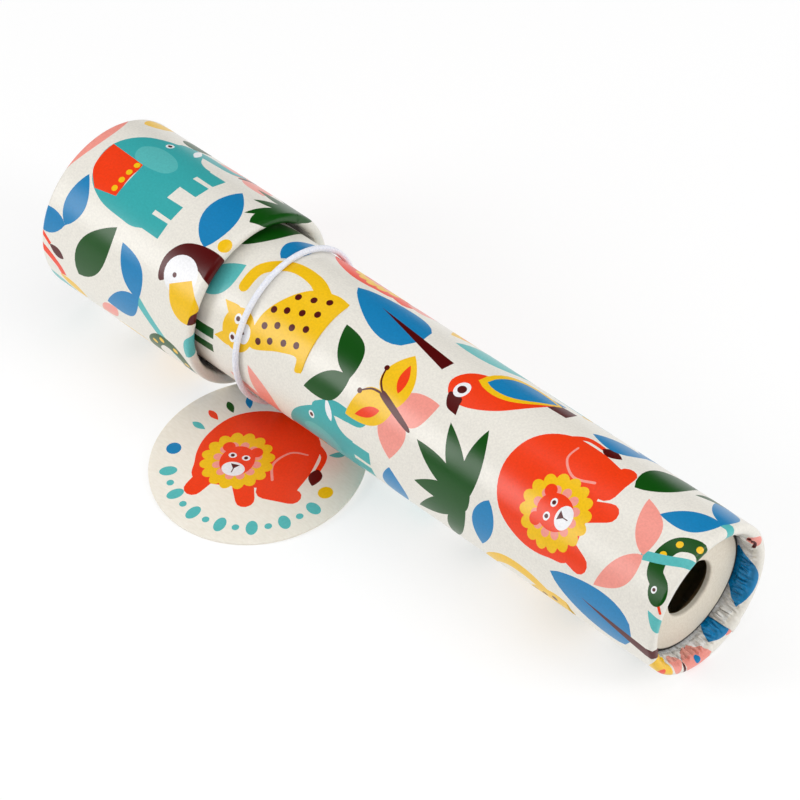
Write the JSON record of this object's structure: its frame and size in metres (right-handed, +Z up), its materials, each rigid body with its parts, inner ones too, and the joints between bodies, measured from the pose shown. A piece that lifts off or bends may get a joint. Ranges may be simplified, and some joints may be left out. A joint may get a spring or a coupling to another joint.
{
  "type": "kaleidoscope",
  "caption": "Card kaleidoscope with a turning bead drum, a mirror tube, a recessed eyepiece and a round tag on an elastic loop, lying on its side.",
  "frame": {"origin": "on the floor, under the middle of the drum and tube (bottom centre of their box)", "axes": "+Z up, +X along the toy from the drum's end to the eye end; the toy's own axis dips 1.62 degrees towards the eye end, because it rests on the wide drum's rear lip and on the eye end's lip"},
  "size_m": [0.1716, 0.0639, 0.0412],
  "materials": {
    "printed_paper": "satin printed art paper, cream ground with flat coloured animals and leaves",
    "card": "matte wound board",
    "white_card": "matte white-lined board",
    "cream_card": "matte uncoated cream board",
    "corrugated_card": "matte corrugated packing",
    "clear_plastic": "clear, polished",
    "frosted_plastic": "frosted, translucent",
    "mirror": "silvered strip, polished",
    "elastic": "braided white elastic",
    "tag_paper": "satin printed card, printed on one side",
    "bead_red": "translucent moulded bead",
    "bead_blue": "translucent moulded bead",
    "bead_green": "translucent moulded bead",
    "bead_yellow": "translucent moulded bead",
    "bead_pink": "translucent moulded bead",
    "bead_teal": "translucent moulded bead"
  },
  "bodies": {
    "tube": {"body_wrap": "printed_paper", "body_tube": "card", "retaining_collar": "card", "front_window": "clear_plastic", "mirror_1": "mirror", "mirror_2": "mirror", "mirror_3": "mirror", "mirror_sleeve": "card", "packing_pad_1": "corrugated_card", "packing_pad_2": "corrugated_card", "packing_pad_3": "corrugated_card", "eye_window": "clear_plastic", "eye_seat_ring": "card", "eyepiece_disc": "cream_card"},
    "drum": {"drum_wrap": "printed_paper", "drum_tube": "card", "drum_bush": "card", "end_ring": "white_card", "diffuser_window": "frosted_plastic", "chamber_spacer": "white_card", "chamber_window": "clear_plastic", "chamber_back_ring": "card"},
    "beads": {"beads_red": "bead_red", "beads_blue": "bead_blue", "beads_green": "bead_green", "beads_yellow": "bead_yellow", "beads_pink": "bead_pink", "beads_teal": "bead_teal"},
    "loop": {"elastic_loop": "elastic", "elastic_knot": "elastic"},
    "tag": {"tag_card": "tag_paper"}
  },
  "joints": [
    {"name": "drum_spin", "type": "hinge", "parent": "tube", "child": "drum", "pos_m": [-0.05722, 0, 0.02048], "axis": [0.9996, 0, -0.0282], "continuous": true},
    {"name": "bead_tumble", "type": "hinge", "parent": "drum", "child": "beads", "pos_m": [-0.07802, 0, 0.02107], "axis": [0.9996, 0, -0.0282], "continuous": true},
    {"name": "loop_turn", "type": "hinge", "parent": "tube", "child": "loop", "pos_m": [-0.02794, 0, 0.01966], "axis": [-0.9996, 0, 0.0282], "continuous": true},
    {"name": "tag_swivel", "type": "hinge", "parent": "loop", "child": "tag", "pos_m": [-0.02731, -0.0045, 0.0022], "axis": [0, 0, 1], "range_deg": [0, 30]}
  ]
}
